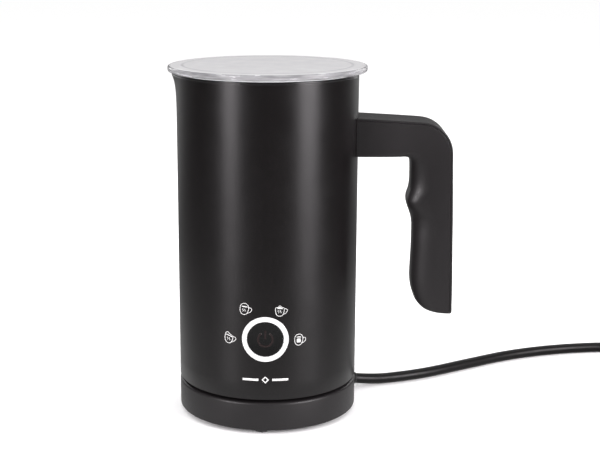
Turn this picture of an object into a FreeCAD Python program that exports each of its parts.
import FreeCAD, Part
import math
import os
import Sketcher
from types import SimpleNamespace

# Electric milk frother: a cordless jug with a lid and a magnetic whisk, standing on a powered base.
# Frame: millimetres, +Z up. The origin is where the jug's axis meets the plane under the feet.
# The handle points to +X, the spout to -X, and the button faces -Y.

DRIVING_SIZES = {
    # base
    "base_radius": 52.5,
    "base_underside": 2.5,
    "base_shoulder": 19.4,
    "base_platform": 20.4,
    "base_platform_radius": 44.6,
    "base_wall": 2.2,
    "base_edge_round": 1.5,
    "plate_radius": 49.9,
    "plate_underside": 3.6,
    "plate_thickness": 2.0,
    "boss_circle": 36.0,
    "boss_radius": 4.0,
    "boss_length": 10.0,
    "foot_circle": 45.5,
    "foot_radius": 4.0,
    "stud_radius": 1.45,
    "stud_hole_radius": 1.5,
    # screws used through the whole object
    "screw_radius": 1.45,
    "screw_hole_radius": 1.5,
    "screw_pass_radius": 1.7,
    "screw_head_radius": 2.9,
    "screw_head_depth": 0.9,
    # cordless power connection
    "tower_radius": 13.5,
    "tower_top": 29.0,
    "tower_flange_radius": 21.5,
    "socket_radius": 18.5,
    "socket_top": 34.0,
    "contact_post_radius": 7.5,
    "contact_groove_radius": 11.5,
    # jug casing
    "jug_radius": 52.5,
    "jug_wall": 1.0,
    "jug_underside": 20.6,
    "jug_rim": 200.5,
    "spout_axis": 42.0,
    "spout_foot": 186.0,
    "spout_foot_radius": 10.25,
    "spout_rim_radius": 13.8,
    "spout_flare_radius": 36.0,
    # milk pot
    "pot_radius": 43.0,
    "pot_wall": 0.8,
    "pot_floor": 92.0,
    "pot_corner": 8.0,
    "pot_collar_radius": 50.6,
    "pot_shoulder": 182.0,
    "pot_collar_foot": 193.0,
    # works under the pot
    "chassis_radius": 50.6,
    "chassis_underside": 76.0,
    "chassis_thickness": 2.0,
    "post_circle": 40.0,
    "post_radius": 4.0,
    "motor_radius": 14.0,
    "motor_length": 26.0,
    "shaft_radius": 1.0,
    "magnet_circle": 8.2,
    "magnet_radius": 2.5,
    "heater_circle": 30.0,
    "heater_radius": 3.2,
    # button
    "button_height": 56.8,
    "button_radius": 9.95,
    "ring_inner_radius": 10.25,
    "ring_outer_radius": 13.15,
    "button_face": 52.2,
    "dish_radius": 60.0,
    # handle
    "handle_width": 26.5,
    "handle_skin": 1.4,
    "arm_top": 175.7,
    "arm_underside": 153.3,
    "grip_inner": 83.0,
    "grip_outer_top": 106.2,
    "grip_outer_foot": 108.3,
    "grip_foot": 59.1,
    "grip_corner_radius": 18.5,
    # lid
    "lid_radius": 57.3,
    "lid_underside": 201.5,
    "lid_top": 205.0,
    "skirt_radius": 49.4,
    "skirt_foot": 195.5,
    "peg_radius": 4.0,
    "peg_foot": 189.0,
    # whisk
    "pin_radius": 1.5,
    "pin_top": 103.0,
    "bush_radius": 2.6,
    "whisk_underside": 94.0,
    "whisk_ring_circle": 17.0,
    "whisk_ring_height": 99.0,
    "whisk_wire_radius": 0.9,
    "whisk_coil_radius": 2.7,
    # cord
    "cord_radius": 3.2,
    "relief_length": 24.0,
    "relief_radius": 4.3,
    "relief_tip_radius": 3.7,
    "coil_radius": 35.2,
    "plug_radius": 18.5,
    "plug_length": 58.0,
    "plug_pin_radius": 2.4,
    "plug_pin_length": 19.0,
    "plug_pin_spacing": 19.0,
}

SHEET_NAME = "Sizes"
CORD_REST = DRIVING_SIZES["cord_radius"]
# The free cord from the tip of its strain relief to the coil, laid on the table.
CORD_ROUTE = [
    (54.2, 28.7, 5.4),
    (66.0, 32.7, CORD_REST),
    (84.0, 38.3, CORD_REST),
    (104.0, 47.5, CORD_REST),
    (129.5, 64.2, CORD_REST),
    (163.0, 85.0, CORD_REST),
    (202.0, 98.0, CORD_REST),
    (243.0, 102.2, CORD_REST),
    (268.0, 101.0, CORD_REST),
]
COIL_CENTRE = (281.0, 62.6)
COIL_HEIGHT = 12.0
# The short end that leaves the top of the coil and goes into the plug.
CORD_TAIL = [(316.0, 56.0, 9.0), (317.3, 43.0, 7.26), (317.3, 30.0, 9.6)]
PLUG_TILT = 79.8

document = FreeCAD.newDocument("MilkFrother")
nodes = []


class Size:
    """A length in millimetres that carries its number and the expression that gives it."""

    def __init__(self, number, text):
        self.number = number
        self.text = text

    def __add__(self, other):
        other = as_size(other)
        return Size(self.number + other.number, f"({self.text} + {other.text})")

    def __sub__(self, other):
        other = as_size(other)
        return Size(self.number - other.number, f"({self.text} - {other.text})")

    def __mul__(self, factor):
        return Size(self.number * factor, f"({self.text} * ({factor:.6f}))")

    def __truediv__(self, divisor):
        return self * (1.0 / divisor)

    def __neg__(self):
        return self * -1.0

    def __radd__(self, other):
        return as_size(other) + self

    def __rsub__(self, other):
        return as_size(other) - self


def as_size(value):
    """Let a plain number stand beside the sheet's sizes in a sum."""
    return value if isinstance(value, Size) else Size(float(value), f"({value:.6f})")


def make_sheet():
    """Write the driving sizes to the sheet, one row each, and return them by name."""
    sheet = document.addObject("Spreadsheet::Sheet", SHEET_NAME)
    sizes = SimpleNamespace()
    for row, (alias, value) in enumerate(DRIVING_SIZES.items(), start=1):
        sheet.set(f"A{row}", alias)
        sheet.set(f"B{row}", str(value))
        sheet.setAlias(f"B{row}", alias)
        setattr(sizes, alias, Size(value, f"{SHEET_NAME}.{alias}"))
    document.recompute()
    return sizes


def bind(thing, prop, size):
    thing.setExpression(prop, as_size(size).text)


def place(thing, x=0, y=0, z=0, turn_axis=(0, 0, 1), turn=0):
    """Put a piece at x, y, z after turning it about its own origin."""
    rotation = FreeCAD.Rotation(FreeCAD.Vector(*turn_axis), turn)
    thing.Placement = FreeCAD.Placement(FreeCAD.Vector(), rotation)
    for letter, size in (("x", x), ("y", y), ("z", z)):
        bind(thing, f"Placement.Base.{letter}", size)
    return thing


def polar(radius, degrees):
    """The x and y of a point on a circle about the jug's axis."""
    return radius * math.cos(math.radians(degrees)), radius * math.sin(math.radians(degrees))


def add(kind, name):
    return document.addObject(kind, name)


def rod(name, radius, length, x=0, y=0, z=0, turn_axis=(0, 0, 1), turn=0):
    thing = add("Part::Cylinder", name)
    bind(thing, "Radius", radius)
    bind(thing, "Height", length)
    return place(thing, x, y, z, turn_axis, turn)


def block(name, size_x, size_y, size_z, x, y, z):
    """A box centred on x and y, standing on z."""
    thing = add("Part::Box", name)
    bind(thing, "Length", size_x)
    bind(thing, "Width", size_y)
    bind(thing, "Height", size_z)
    return place(thing, as_size(x) - as_size(size_x) / 2, as_size(y) - as_size(size_y) / 2, z)


def doughnut(name, circle, radius, z):
    thing = add("Part::Torus", name)
    bind(thing, "Radius1", circle)
    bind(thing, "Radius2", radius)
    return place(thing, 0, 0, z)


def join(name, pieces):
    thing = add("Part::MultiFuse", name)
    thing.Shapes = pieces
    return thing


def cut(name, base, tools):
    thing = add("Part::Cut", name)
    thing.Base = base
    thing.Tool = tools[0] if len(tools) == 1 else join(f"{name}_tools", tools)
    return thing


def common(name, pieces):
    thing = add("Part::MultiCommon", name)
    thing.Shapes = pieces
    return thing


def group(name, pieces):
    """Separate solids that share one node, such as a set of like screws."""
    thing = add("Part::Compound", name)
    thing.Links = pieces
    return thing


def node(name, thing):
    """Name a finished sub-part, which is written to a file of that name."""
    thing.Label = name
    nodes.append(thing)
    return thing


def arc_middle(start, end, radius):
    """The middle of the short arc between two points; a positive radius turns to the left."""
    across = end - start
    half = across.Length / 2
    rise = abs(radius) - math.sqrt(radius * radius - half * half)
    right = FreeCAD.Vector(across.y, -across.x, 0).normalize()
    return (start + end) * 0.5 + right * math.copysign(rise, radius)


def pin_point(sketch, geometry, end, x, y):
    """Hold one end of a line or arc at x, y."""
    for kind, size, own_axis in (("DistanceX", x, -2), ("DistanceY", y, -1)):
        if size.number == 0:
            sketch.addConstraint(Sketcher.Constraint("PointOnObject", geometry, end, own_axis))
            continue
        held = Sketcher.Constraint(kind, -1, 1, geometry, end, size.number)
        index = sketch.addConstraint(held)
        bind(sketch, f"Constraints[{index}]", size)


def draw_outline(sketch, outline):
    """Draw a closed outline; each corner is (x, y) or (x, y, radius of the arc to the next)."""
    corners = [(as_size(c[0]), as_size(c[1]), as_size(c[2]) if len(c) > 2 else None) for c in outline]
    spots = [FreeCAD.Vector(x.number, y.number, 0) for x, y, _ in corners]
    ends = []
    for i, (_, _, radius) in enumerate(corners):
        start, end = spots[i], spots[(i + 1) % len(spots)]
        if radius is None:
            index = sketch.addGeometry(Part.LineSegment(start, end), False)
        else:
            index = sketch.addGeometry(Part.Arc(start, arc_middle(start, end, radius.number), end), False)
        forward = (sketch.getPoint(index, 1) - start).Length < (sketch.getPoint(index, 2) - start).Length
        ends.append((index, 1, 2) if forward else (index, 2, 1))
    for i, (x, y, radius) in enumerate(corners):
        index, first, last = ends[i]
        after, after_first, _ = ends[(i + 1) % len(ends)]
        sketch.addConstraint(Sketcher.Constraint("Coincident", index, last, after, after_first))
        pin_point(sketch, index, first, x, y)
        if radius is not None:
            held = Sketcher.Constraint("Radius", index, abs(radius.number))
            at = sketch.addConstraint(held)
            bind(sketch, f"Constraints[{at}]", radius if radius.number > 0 else -radius)


def new_sketch(body, name, plane):
    sketch = body.newObject("Sketcher::SketchObject", name)
    sketch.AttachmentSupport = [(find_origin(body, plane), "")]
    sketch.MapMode = "FlatFace"
    return sketch


def find_origin(body, role):
    return next(item for item in body.Origin.OriginFeatures if item.Role == role)


def spin(name, outline, x=0, y=0):
    """A body turned about its upright axis from an outline of (radius, height) corners."""
    body = add("PartDesign::Body", name)
    sketch = new_sketch(body, f"{name}_outline", "XZ_Plane")
    draw_outline(sketch, outline)
    turned = body.newObject("PartDesign::Revolution", f"{name}_turned")
    turned.Profile = sketch
    turned.ReferenceAxis = (sketch, ["V_Axis"])
    turned.Angle = 360
    return place(body, x, y, 0)


def ring(name, inner, outer, bottom, top, x=0, y=0):
    return spin(name, [(inner, bottom), (outer, bottom), (outer, top), (inner, top)], x, y)


def side_pad(name, outline, width):
    """A body padded to both sides of the XZ plane from a side outline."""
    body = add("PartDesign::Body", name)
    sketch = new_sketch(body, f"{name}_outline", "XZ_Plane")
    draw_outline(sketch, outline)
    pad = body.newObject("PartDesign::Pad", f"{name}_pad")
    pad.Profile = sketch
    pad.SideType = "Symmetric"
    bind(pad, "Length", width)
    return body


def side_edges(shape, width, wanted):
    """The names of the edges that lie in the two side faces and pass the wanted test."""
    names = []
    for number, edge in enumerate(shape.Edges, start=1):
        middle = edge.valueAt((edge.FirstParameter + edge.LastParameter) / 2)
        box = edge.BoundBox
        if abs(abs(middle.y) - width / 2) < 1e-4 and box.YLength < 1e-4 and wanted(middle):
            names.append(f"Edge{number}")
    return names


def round_edges(body, name, radius, wanted, width):
    """Round the chosen side edges of a padded body."""
    document.recompute()
    base = body.Tip
    edges = side_edges(base.Shape, width, wanted)
    fillet = body.newObject("PartDesign::Fillet", name)
    fillet.Base = (base, edges)
    fillet.Radius = radius
    return fillet


def screw(name, x, y, head_at, length, up=True):
    """An upright screw: a flat head at head_at and a shank that runs up or down from it."""
    radius, head, depth = size.screw_radius, size.screw_head_radius, size.screw_head_depth
    shank_at = as_size(head_at) + depth if up else as_size(head_at) - length
    shank = rod(f"{name}_shank", radius, length, x, y, shank_at)
    cap = rod(f"{name}_cap", head, depth, x, y, head_at)
    return join(name, [cap, shank])


def base_assembly():
    """The round base on its rubber feet, with the tower that powers the jug."""
    r, wall = size.base_radius, size.base_wall
    under, shoulder, platform = size.base_underside, size.base_shoulder, size.base_platform
    ceiling = platform - wall
    rounding = size.base_edge_round
    shell = spin("base_skin", [
        (r, under),
        (r, shoulder - rounding, rounding),
        (r - rounding, shoulder),
        (size.base_platform_radius, shoulder),
        (size.base_platform_radius, platform),
        (size.tower_flange_radius - 2.3, platform),
        (size.tower_flange_radius - 2.3, ceiling),
        (size.base_platform_radius - wall, ceiling),
        (size.base_platform_radius - wall, ceiling - 1.0),
        (r - wall, ceiling - 1.0),
        (r - wall, under),
    ])
    plate_top = size.plate_underside + size.plate_thickness
    bosses, boss_holes, screws, plate_holes = [], [], [], []
    for i, angle in enumerate((90, 210, 330), start=1):
        x, y = polar(size.boss_circle, angle)
        bosses.append(rod(f"boss_{i}", size.boss_radius, ceiling + 0.5 - plate_top, x, y, plate_top))
        boss_holes.append(rod(f"boss_hole_{i}", size.screw_hole_radius, size.boss_length, x, y, plate_top))
        head_at = size.plate_underside - size.screw_head_depth
        screws.append(screw(f"base_screw_{i}", x, y, head_at, 9.0))
        plate_holes.append(rod(f"plate_hole_{i}", size.screw_pass_radius, 4, x, y, size.plate_underside - 1))
    notch = cord_hole("base_notch", 4.45)
    body = join("base_skin_and_bosses", [shell] + bosses)
    node("base_shell", cut("base_shell", body, boss_holes + notch))
    node("base_screws", group("base_screws", screws))

    feet = []
    for i, angle in enumerate((-93, -3, 87, 177), start=1):
        x, y = polar(size.foot_circle, angle)
        pad = rod(f"foot_pad_{i}", size.foot_radius, size.plate_underside, x, y, 0)
        stud = rod(f"foot_stud_{i}", size.stud_radius, 4.0, x, y, size.plate_underside - 0.5)
        feet.append(join(f"foot_{i}", [pad, stud]))
        plate_holes.append(rod(f"stud_hole_{i}", size.stud_hole_radius, 4, x, y, size.plate_underside - 1))
    node("base_feet", group("base_feet", feet))
    disc = rod("plate_disc", size.plate_radius, size.plate_thickness, 0, 0, size.plate_underside)
    node("base_plate", cut("base_plate", disc, plate_holes + cord_hole("plate_notch", 4.45)))

    flange, tower, top = size.tower_flange_radius, size.tower_radius, size.tower_top
    post, groove = size.contact_post_radius, size.contact_groove_radius
    node("base_coupling", spin("base_coupling", [
        (0, ceiling - 4.0),
        (flange, ceiling - 4.0),
        (flange, ceiling - 0.05),
        (flange - 2.5, ceiling - 0.05),
        (flange - 2.5, platform),
        (tower, platform),
        (tower, top - 1.0, 1.0),
        (tower - 1.0, top),
        (groove, top),
        (groove, platform + 1.6),
        (post, platform + 1.6),
        (post, top),
        (2.8, top),
        (2.8, platform - 0.4),
        (0, platform - 0.4),
    ]))
    node("base_contacts", group("base_contacts", [
        ring("centre_sleeve", 2.1, 2.75, platform, top - 1.5),
        ring("inner_contact", post + 0.05, post + 0.8, platform + 1.7, top - 1.5),
        ring("outer_contact", groove - 0.8, groove - 0.05, platform + 1.7, top - 1.5),
    ]))


def cord_direction():
    start, after = (FreeCAD.Vector(*point) for point in CORD_ROUTE[:2])
    return (after - start).normalize()


def cord_hole(name, radius):
    """The channel that the cord's strain relief passes through, open at the bottom."""
    tip = FreeCAD.Vector(*CORD_ROUTE[0])
    along = cord_direction()
    back = DRIVING_SIZES["relief_length"] + 1
    channel = add("Part::Feature", f"{name}_bore")
    channel.Shape = Part.makeCylinder(radius, back, tip - along * back, along)
    flat = FreeCAD.Vector(along.x, along.y, 0).normalize()
    side = FreeCAD.Vector(-flat.y, flat.x, 0) * radius
    inner = tip - along * back
    corners = [tip + side, tip - side, inner - side, inner + side]
    footprint = [FreeCAD.Vector(p.x, p.y, 0) for p in corners]
    slot = add("Part::Feature", f"{name}_slot")
    wire = Part.makePolygon(footprint + footprint[:1])
    slot.Shape = Part.Face(wire).extrude(FreeCAD.Vector(0, 0, tip.z))
    return [channel, slot]


def cord_assembly():
    """The strain relief, its clamp, the free cord, its coil and tie, and the plug."""
    tip = FreeCAD.Vector(*CORD_ROUTE[0])
    along = cord_direction()
    length = DRIVING_SIZES["relief_length"]
    relief = add("Part::Cone", "cord_relief")
    bind(relief, "Radius1", size.relief_radius)
    bind(relief, "Radius2", size.relief_tip_radius)
    bind(relief, "Height", size.relief_length)
    turned = FreeCAD.Rotation(FreeCAD.Vector(0, 0, 1), along)
    relief.Placement = FreeCAD.Placement(tip - along * length, turned)
    node("cord_relief", relief)

    # The clamp bridges the cord just inside the relief and is screwed up into the base's ceiling.
    grip = tip - along * (length + 6.0)
    heading = math.degrees(math.atan2(along.y, along.x))
    bridge = add("Part::Box", "clamp_bridge")
    bridge.Length, bridge.Width, bridge.Height = 8.0, 22.0, 3.0
    clamp_at = FreeCAD.Placement(FreeCAD.Vector(grip.x, grip.y, 7.0), FreeCAD.Rotation(heading, 0, 0))
    bridge.Placement = clamp_at.multiply(FreeCAD.Placement(FreeCAD.Vector(-4, -11, 0), FreeCAD.Rotation()))
    holes, screws = [], []
    for i, across in enumerate((-7.5, 7.5), start=1):
        spot = clamp_at.multVec(FreeCAD.Vector(0, across, 0))
        holes.append(rod(f"clamp_hole_{i}", size.screw_pass_radius, 5, spot.x, spot.y, 6))
        screws.append(screw(f"clamp_screw_{i}", spot.x, spot.y, 7 - size.screw_head_depth, 9.0))
    node("cord_clamp", cut("cord_clamp", bridge, holes))
    node("cord_clamp_screws", group("cord_clamp_screws", screws))

    node("cord_run", tube("cord_run", CORD_ROUTE, DRIVING_SIZES["cord_radius"]))
    x, y = COIL_CENTRE
    half = size.cord_radius * 2
    coil = ring("cord_coil", size.coil_radius - half, size.coil_radius + half, 0, COIL_HEIGHT, x, y)
    node("cord_coil", coil)
    node("cord_tail", tube("cord_tail", CORD_TAIL, DRIVING_SIZES["cord_radius"]))

    # The tie is a band over the turns, on the side of the coil away from the plug.
    middle, reach = DRIVING_SIZES["coil_radius"], 2 * DRIVING_SIZES["cord_radius"]
    tie_at = x - middle
    outer = block("tie_outer", 2 * reach + 2.4, 8.0, COIL_HEIGHT + 1.1, tie_at, y, 0)
    inner = block("tie_inner", 2 * reach + 0.6, 10.0, COIL_HEIGHT + 0.1, tie_at, y, 0)
    node("cord_tie", cut("cord_tie", outer, [inner]))
    plug_assembly()


def plug_assembly():
    """A round earthed two-pin plug, lying on its rim with its tail towards the coil."""
    x, y, z = CORD_TAIL[-1]
    radius, length = size.plug_radius, size.plug_length
    shell = spin("plug_shell", [
        (0, 0),
        (4.2, 0),
        (5.8, 21.0),
        (8.5, 24.0),
        (radius - 1.0, 44.0),
        (radius, 50.0),
        (radius, length - 1.0, 1.0),
        (radius - 1.0, length),
        (2.6, length),
        (2.6, length - 14.0),
        (0, length - 14.0),
    ])
    pin_holes, pins = [], []
    for i, side in enumerate((-0.5, 0.5), start=1):
        across = size.plug_pin_spacing * side
        pin_holes.append(rod(f"pin_hole_{i}", size.plug_pin_radius + 0.05, 11, across, 0, length - 10))
        pins.append(rod(f"pin_{i}", size.plug_pin_radius, size.plug_pin_length + 9, across, 0, length - 9))
    body = cut("plug_body", shell, pin_holes)
    prongs = group("plug_pins", pins)
    laid = FreeCAD.Rotation(FreeCAD.Vector(1, 0, 0), PLUG_TILT)
    for thing in (body, prongs):
        thing.Placement = FreeCAD.Placement(FreeCAD.Vector(x, y, z), laid)
        node(thing.Name, thing)


def tube(name, points, radius):
    """A round cord along straight runs joined by tangent arcs, as large as the runs allow."""
    spots = [FreeCAD.Vector(*point) for point in points]
    edges = []
    last = spots[0]
    for before, corner, after in zip(spots, spots[1:], spots[2:]):
        arrive, leave = (corner - before).normalize(), (after - corner).normalize()
        shorter = min((corner - before).Length, (after - corner).Length)
        reach = 0.45 * shorter
        half_turn = arrive.getAngle(leave) / 2
        bend = reach / math.tan(half_turn)
        print(f"{name}: bend radius {bend:.1f} mm, turn {math.degrees(2 * half_turn):.1f} degrees")
        start, end = corner - arrive * reach, corner + leave * reach
        inward = (leave - arrive).normalize()
        middle = corner + inward * (bend / math.cos(half_turn) - bend)
        edges.append(Part.LineSegment(last, start).toShape())
        edges.append(Part.Arc(start, middle, end).toShape())
        last = end
    edges.append(Part.LineSegment(last, spots[-1]).toShape())
    path = Part.Wire(edges)
    along = (spots[1] - spots[0]).normalize()
    section = Part.Wire(Part.makeCircle(radius, spots[0], along))
    thing = add("Part::Feature", name)
    thing.Shape = path.makePipeShell([section], True, False)
    expected = math.pi * radius * radius * path.Length
    fill = thing.Shape.Volume / expected
    print(f"{name}: length {path.Length:.1f} mm, volume over section times length {fill:.4f}")
    return thing


def coupling_assembly():
    """The jug's half of the power connection, which fits over the base's tower."""
    outer, top = size.socket_radius, size.socket_top
    mouth, tower = size.jug_underside + 0.4, size.tower_radius
    node("jug_coupling", spin("jug_coupling", [
        (0, top - 3.0),
        (tower + 0.6, top - 3.0),
        (tower + 0.6, mouth),
        (outer, mouth),
        (outer, mouth + 2.5),
        (outer + 4.5, mouth + 2.5),
        (outer + 4.5, mouth + 4.5),
        (outer, mouth + 4.5),
        (outer, top),
        (0, top),
    ]))
    node("jug_contacts", group("jug_contacts", [
        rod("centre_pin", 1.9, 7.5, 0, 0, top - 10.5),
        ring("ring_pin", 8.8, 10.2, top - 10.0, top - 3.0),
    ]))


def spout_outline(thinner, foot):
    """The spout is a short trumpet about its own upright axis; thinner walls nest inside it."""
    # Each liner starts a little higher, so that the liners also nest at the foot of the spout.
    return [
        (0, foot),
        (size.spout_foot_radius - thinner, foot),
        (size.spout_foot_radius - thinner, size.spout_foot + 3.0, -size.spout_flare_radius),
        (size.spout_rim_radius - thinner, size.jug_rim),
        (0, size.jug_rim),
    ]


def jug_casing():
    """The painted casing with its spout, and the black cover under it."""
    r, wall, rim = size.jug_radius, size.jug_wall, size.jug_rim
    height = rim - size.jug_underside
    side = -size.spout_axis
    outside = join("casing_outside", [
        rod("casing_outer", r, height, 0, 0, size.jug_underside),
        spin("spout_outer", spout_outline(0, size.spout_foot), side),
    ])
    inside = join("casing_inside", [
        rod("casing_inner", r - wall, height + 2, 0, 0, size.jug_underside - 1),
        spin("spout_inner", spout_outline(wall, size.spout_foot + 1.0), side),
    ])
    window = rod("button_window", size.ring_outer_radius + 0.15, 20, 0, -40, size.button_height, (1, 0, 0), 90)
    screw_holes = [
        rod(f"casing_hole_{i}", size.screw_pass_radius, 10, 46, 0, height_at, (0, 1, 0), 90)
        for i, height_at in enumerate(handle_screw_heights(), start=1)
    ]
    node("jug_shell", cut("jug_shell", outside, [inside, window] + screw_holes))

    cover = spin("cover_dish", [
        (size.socket_radius + 0.5, size.jug_underside + 0.2),
        (r - wall - 0.1, size.jug_underside + 0.2),
        (r - wall - 0.1, size.jug_underside + 9.0),
        (r - wall - 2.1, size.jug_underside + 9.0),
        (r - wall - 2.1, size.jug_underside + 2.4),
        (size.socket_radius + 0.5, size.jug_underside + 2.4),
    ])
    recesses, screws = [], []
    for i, angle in enumerate((90, 210, 330), start=1):
        x, y = polar(size.post_circle, angle)
        mouth = size.screw_head_radius + 0.3
        recesses.append(rod(f"cover_recess_{i}", mouth, 1.4, x, y, size.jug_underside - 0.2))
        recesses.append(rod(f"cover_hole_{i}", size.screw_pass_radius, 5, x, y, size.jug_underside - 1))
        screws.append(screw(f"floor_screw_{i}", x, y, size.jug_underside + 0.3, 11.0))
    node("floor_cover", cut("floor_cover", cover, recesses))
    node("floor_screws", group("floor_screws", screws))


def pot_outline(inset, top):
    """The pot's outline, inset by its wall for the inside."""
    r, floor = size.pot_radius + size.pot_wall - inset, size.pot_floor + inset
    corner = size.pot_corner
    collar = size.pot_collar_radius + size.pot_wall - inset
    return [
        (0, floor),
        (r - corner, floor, corner),
        (r, floor + corner),
        (r, size.pot_shoulder),
        (collar, size.pot_collar_foot),
        (collar, top),
        (0, top),
    ]


def milk_pot():
    """The steel pot, its rim shaped into the spout, and the pin that the whisk turns on."""
    wall, rim = size.pot_wall, size.jug_rim
    side = -size.spout_axis
    casing = size.jug_wall + 0.05
    outside = join("pot_outside", [
        spin("pot_outer", pot_outline(0, rim)),
        spin("pot_spout_outer", spout_outline(casing, size.spout_foot + 1.2), side),
    ])
    inside = join("pot_inside", [
        spin("pot_inner", pot_outline(wall, rim + 1)),
        spin("pot_spout_inner", spout_outline(casing + wall, size.spout_foot + 1.2 + wall), side),
    ])
    node("inner_pot", cut("inner_pot", outside, [inside]))
    floor = size.pot_floor + wall
    node("whisk_pivot", rod("whisk_pivot", size.pin_radius, size.pin_top - floor, 0, 0, floor))


def heater():
    """The heater under the pot, with its safety cut-out and its temperature sensor."""
    top = size.pot_floor
    node("heat_plate", ring("heat_plate", 13.0, 37.0, top - 4.0, top))
    pipe = add("Part::Torus", "heater_pipe")
    bind(pipe, "Radius1", size.heater_circle)
    bind(pipe, "Radius2", size.heater_radius)
    pipe.Angle3 = 320
    place(pipe, 0, 0, top - 4.0 - size.heater_radius, (0, 0, 1), 20)
    ends = []
    for i, angle in enumerate((20, 340), start=1):
        x, y = polar(size.heater_circle, angle)
        ends.append(rod(f"heater_end_{i}", size.heater_radius / 2, 8.8, x, y, top - 13.3))
    node("heating_element", join("heating_element", [pipe] + ends))
    x, y = polar(as_size(20.0), 200)
    node("thermal_cutout", join("thermal_cutout", [
        rod("cutout_disc", 5.5, 3.5, x, y, top - 7.5),
        block("cutout_lugs", 11.6, 4.0, 1.0, x, y, top - 8.0),
    ]))
    x, y = polar(as_size(20.0), 80)
    node("temperature_sensor", rod("temperature_sensor", 2.5, 7.0, x, y, top - 11.0))


def drive():
    """The motor on its chassis plate, and the magnet carrier that it turns."""
    under = size.chassis_underside
    top = under + size.chassis_thickness
    floor = size.jug_underside + 2.4
    posts, holes = [], [rod("shaft_hole", 3.5, 6, 0, 0, under - 2)]
    for i, angle in enumerate((90, 210, 330), start=1):
        x, y = polar(size.post_circle, angle)
        posts.append(rod(f"post_{i}", size.post_radius, under + 1 - floor, x, y, floor))
        holes.append(rod(f"post_hole_{i}", size.screw_hole_radius, 12, x, y, floor))
    motor_holes, screws = [], []
    for i, side in enumerate((-8.0, 8.0), start=1):
        holes.append(rod(f"motor_pass_{i}", size.screw_pass_radius, 6, side, 0, under - 2))
        motor_holes.append(rod(f"motor_thread_{i}", size.screw_hole_radius, 6, side, 0, under - 5))
        screws.append(screw(f"motor_screw_{i}", side, 0, top, 6.0, up=False))
    plate = rod("chassis_plate", size.chassis_radius, size.chassis_thickness, 0, 0, under)
    node("motor_chassis", cut("motor_chassis", join("chassis_and_posts", [plate] + posts), holes))
    node("motor_screws", group("motor_screws", screws))
    can = rod("motor_can", size.motor_radius, size.motor_length, 0, 0, under - size.motor_length)
    bore = rod("motor_bore", size.shaft_radius + 0.05, 20, 0, 0, under - 19)
    node("drive_motor", cut("drive_motor", can, motor_holes + [bore]))

    node("motor_shaft", rod("motor_shaft", size.shaft_radius, 26, 0, 0, under - 18))
    carrier_top = size.pot_floor - 4.0
    body = spin("carrier_disc", [
        (size.shaft_radius + 0.03, top + 2.2),
        (11.5, top + 2.2),
        (11.5, carrier_top),
        (0, carrier_top),
        (0, top + 6.1),
        (size.shaft_radius + 0.03, top + 6.1),
    ])
    pockets, magnets = [], []
    for i, side in enumerate((-1.0, 1.0), start=1):
        across = size.magnet_circle * side
        pockets.append(rod(f"carrier_pocket_{i}", size.magnet_radius + 0.05, 6, across, 0, carrier_top - 4))
        magnets.append(rod(f"drive_magnet_{i}", size.magnet_radius, 4.5, across, 0, carrier_top - 4))
    node("magnet_carrier", cut("magnet_carrier", body, pockets))
    node("drive_magnets", group("drive_magnets", magnets))


def controls():
    """The button, the ring of light round it, and the board and switch behind them."""
    middle = size.button_height
    forward = (1, 0, 0)
    outer, inner = size.ring_outer_radius, size.ring_inner_radius
    # Rods turned by 90 degrees about X run towards -Y from the point given.
    band = join("light_ring_band", [
        rod("light_ring_wall", outer, 8, 0, -45.5, middle, forward, 90),
        rod("light_ring_flange", outer + 2.0, 2, 0, -46, middle, forward, 90),
    ])
    limit = rod("light_ring_limit", size.jug_radius + 0.15, 60, 0, 0, middle - 30)
    bore = rod("light_ring_bore", inner, 12, 0, -44, middle, forward, 90)
    trimmed = common("light_ring_trimmed", [band, limit])
    node("light_ring", cut("light_ring", trimmed, [bore]))

    cap_back = size.button_face - 4.2
    cap = rod("button_disc", size.button_radius, 4.2, 0, -cap_back, middle, forward, 90)
    stem = rod("button_stem", 3.0, cap_back - 46.3, 0, -46.3, middle, forward, 90)
    dish = add("Part::Sphere", "button_dish")
    bind(dish, "Radius", size.dish_radius)
    place(dish, 0, -(size.button_face - 0.8) - size.dish_radius, middle)
    node("button_cap", cut("button_cap", join("button_blank", [cap, stem]), [dish]))
    node("switch_stem", rod("switch_stem", 1.7, 1.3, 0, -45.0, middle, forward, 90))
    bench = block("switch_block", 6.2, 3.5, 6.2, 0, -43.35, middle - 3.1)
    well = rod("switch_well", 2.0, 3, 0, -43.9, middle, forward, 90)
    node("tact_switch", cut("tact_switch", bench, [well]))
    node("control_board", block("control_board", 40, 1.6, 38, 0, -40.8, middle - 20))
    lamps = []
    for i in range(8):
        angle = math.radians(22.5 + 45 * i)
        x, rise = 11.7 * math.cos(angle), 11.7 * math.sin(angle)
        lamps.append(block(f"lamp_{i + 1}", 1.8, 0.8, 1.8, x, -42.0, middle + rise - 0.9))
    node("ring_lamps", group("ring_lamps", lamps))


def handle_screw_heights():
    return [size.arm_underside + 6.0, size.arm_top - 6.5]


def saddle(name):
    """The jug's outside, which hollows the end of the arm so that it fits the casing."""
    return rod(name, size.jug_radius + 0.1, 200, 0, 0, 20)


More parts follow.
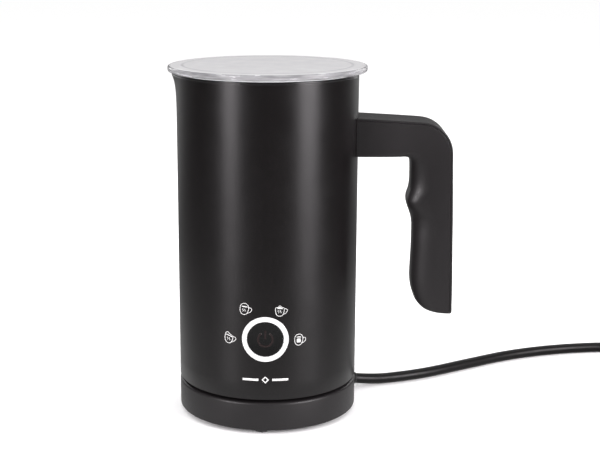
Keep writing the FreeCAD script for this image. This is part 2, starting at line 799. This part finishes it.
def handle_side(skin, over, foot):
    """The handle's side outline.

    skin is how far the outline runs inside the outer surface, over how far inside the inner one,
    and foot how far above the foot it ends.
    """
    # The outer face leans out a little towards the foot, and the arm falls a little outwards.
    wide = size.grip_corner_radius
    face_top = 155.0
    face_length = face_top - DRIVING_SIZES["grip_foot"]
    outer_foot = size.grip_outer_foot - skin - (size.grip_outer_foot - size.grip_outer_top) * (foot / face_length)
    corner_in, corner_out = size.grip_outer_top - wide, size.grip_outer_top - skin
    return [
        (as_size(47.0), size.arm_underside + over),
        (size.grip_inner - 4.0, size.arm_underside + over, -(4.0 + over)),
        (size.grip_inner + over, size.arm_underside - 4.0),
        (size.grip_inner - 0.3 + over, 138.0),
        (size.grip_inner - 2.0 + over, 127.5, 10.0),
        (size.grip_inner - 0.3 + over, 121.0),
        (size.grip_inner + 1.5 + over, 112.0),
        (size.grip_inner + 1.3 + over, 79.0, 20.0),
        (size.grip_outer_foot - 11.0, size.grip_foot + 0.6 + foot),
        (outer_foot, size.grip_foot + foot),
        (corner_out, face_top, wide - skin),
        (corner_in + 0.8, size.arm_top - 2.0 - skin),
        (as_size(47.0), size.arm_top - skin),
    ]


def handle():
    """The L-shaped handle: a hollow body, the cover strip that closes it, and its fixings."""
    width, skin = size.handle_width, size.handle_skin
    number = DRIVING_SIZES["handle_width"]
    grip_inner, underside = DRIVING_SIZES["grip_inner"], DRIVING_SIZES["arm_underside"]
    body = side_pad("handle_blank", handle_side(skin + 0.05, 0, 0), width)
    round_edges(body, "handle_inner_round", 5.0,
                lambda spot: spot.x < grip_inner + 4 and spot.z < underside + 2 and spot.x > 60, number)
    hollow = side_pad("handle_hollow", handle_side(skin - 0.5, 3.0, 3.0), width - 6.0)
    arm_block = block("arm_block", 24, 40, 30, 64, 0, 150)
    pocket = cut("handle_pocket", hollow, [arm_block])
    threads = [
        rod(f"handle_thread_{i}", size.screw_hole_radius, 30, 45, 0, height_at, (0, 1, 0), 90)
        for i, height_at in enumerate(handle_screw_heights(), start=1)
    ]
    node("handle_body", cut("handle_body", body, [saddle("body_saddle"), pocket] + threads))

    strip = side_pad("cover_blank", handle_side(0, -1.0, 0), width)
    core = side_pad("cover_core", handle_side(skin, -8.0, -8.0), width + 4.0)
    node("handle_cover", cut("handle_cover", strip, [core, saddle("cover_saddle")]))

    plate = block("bracket_plate", 2.0, 20.0, 20.0, 49.3, 0, size.arm_underside + 1.2)
    holes, screws = [], []
    for i, height_at in enumerate(handle_screw_heights(), start=1):
        holes.append(rod(f"bracket_hole_{i}", size.screw_pass_radius, 6, 46, 0, height_at, (0, 1, 0), 90))
        cap = rod(f"handle_screw_cap_{i}", size.screw_head_radius, 1.5, 46.8, 0, height_at, (0, 1, 0), 90)
        shank = rod(f"handle_screw_shank_{i}", size.screw_radius, 20, 48.3, 0, height_at, (0, 1, 0), 90)
        screws.append(join(f"handle_screw_{i}", [cap, shank]))
    node("handle_bracket", cut("handle_bracket", plate, holes))
    node("handle_screws", group("handle_screws", screws))


def lid():
    """The clear lid with its skirt and the peg that stores the whisk, and the soft seal."""
    r, under, top = size.lid_radius, size.lid_underside, size.lid_top
    skirt = size.skirt_radius
    node("lid_disc", spin("lid_disc", [
        (0, size.peg_foot),
        (size.peg_radius, size.peg_foot),
        (size.peg_radius, under),
        (skirt - 2.0, under),
        (skirt - 2.0, size.skirt_foot),
        (skirt, size.skirt_foot),
        (skirt, under),
        (r - 1.5, under, 1.5),
        (r, under + 1.5),
        (r, top - 1.5, 1.5),
        (r - 1.5, top),
        (0, top),
    ]))
    rim = size.jug_rim
    node("lid_seal", spin("lid_seal", [
        (skirt + 0.05, size.skirt_foot + 1.0),
        (skirt + 0.9, size.skirt_foot + 1.4),
        (skirt + 0.9, size.skirt_foot + 2.4),
        (skirt + 0.3, rim + 0.05),
        (size.jug_radius - 0.4, rim + 0.05),
        (size.jug_radius - 0.4, under - 0.05),
        (skirt + 0.05, under - 0.05),
    ]))


def whisk():
    """The whisk: a hub with two magnets that turns on a steel bush, and a coil on a wire ring."""
    under, bush = size.whisk_underside, size.bush_radius
    pin, pin_top = size.pin_radius, size.pin_top
    node("whisk_bush", spin("whisk_bush", [
        (pin + 0.06, under),
        (bush, under),
        (bush, pin_top + 1.0),
        (0, pin_top + 1.0),
        (0, pin_top + 0.05),
        (pin + 0.06, pin_top + 0.05),
    ]))
    hub = spin("hub_blank", [
        (bush + 0.06, under + 0.2),
        (12.0, under + 0.2),
        (12.0, under + 4.2),
        (6.0, under + 5.5),
        (4.6, pin_top + 4.0),
        (0, pin_top + 4.0),
        (0, pin_top + 1.1),
        (bush + 0.06, pin_top + 1.1),
    ])
    circle, level = size.whisk_ring_circle, size.whisk_ring_height
    wire = size.whisk_wire_radius
    pockets, magnets = [], []
    for i, side in enumerate((-1.0, 1.0), start=1):
        across = size.magnet_circle * side
        pockets.append(rod(f"hub_pocket_{i}", size.magnet_radius + 0.05, 3.2, across, 0, under))
        magnets.append(rod(f"whisk_magnet_{i}", size.magnet_radius, 2.8, across, 0, under + 0.3))
    arm_at = 4.6
    arms, arm_slots = [], []
    for i, angle in enumerate((30, 150, 270), start=1):
        tilt = FreeCAD.Rotation(angle, 0, 0).multiply(FreeCAD.Rotation(FreeCAD.Vector(0, 1, 0), 90))
        x, y = polar(as_size(arm_at), angle)
        for made, kind, thick in ((arms, "arm", 0), (arm_slots, "slot", 0.15)):
            bar = rod(f"whisk_{kind}_{i}", wire + thick, circle - arm_at, x, y, level)
            bar.Placement = FreeCAD.Placement(bar.Placement.Base, tilt)
            made.append(bar)
    hub_slots = join("hub_slots", arm_slots)
    node("whisk_hub", cut("whisk_hub", hub, pockets + [hub_slots]))
    node("whisk_magnets", group("whisk_magnets", magnets))
    node("whisk_frame", join("whisk_frame", [doughnut("whisk_wire", circle, wire, level)] + arms))
    wound = doughnut("coil_outside", circle, size.whisk_coil_radius, level)
    hole = doughnut("coil_inside", circle, size.whisk_coil_radius - 0.9, level)
    node("whisk_coil", cut("whisk_coil", wound, [hole, hub_slots]))


def check_and_write():
    """Stop at anything that failed, then write each sub-part to its own file."""
    document.recompute()
    failed = [thing.Name for thing in document.Objects if {"Invalid", "Error"} & set(thing.State)]
    bad = [n.Label for n in nodes if n.Shape.isNull() or not n.Shape.isValid() or not n.Shape.Solids]
    if failed or bad:
        raise RuntimeError(f"failed objects {failed}, bad shapes {bad}")
    os.makedirs("parts", exist_ok=True)
    for thing in nodes:
        thing.Shape.exportStep(f"parts/{thing.Label}.step")
        print(f"{thing.Label}: {len(thing.Shape.Solids)} solid(s), {thing.Shape.Volume:.0f} mm3")


size = make_sheet()
base_assembly()
cord_assembly()
coupling_assembly()
jug_casing()
milk_pot()
heater()
drive()
controls()
handle()
lid()
whisk()
check_and_write()
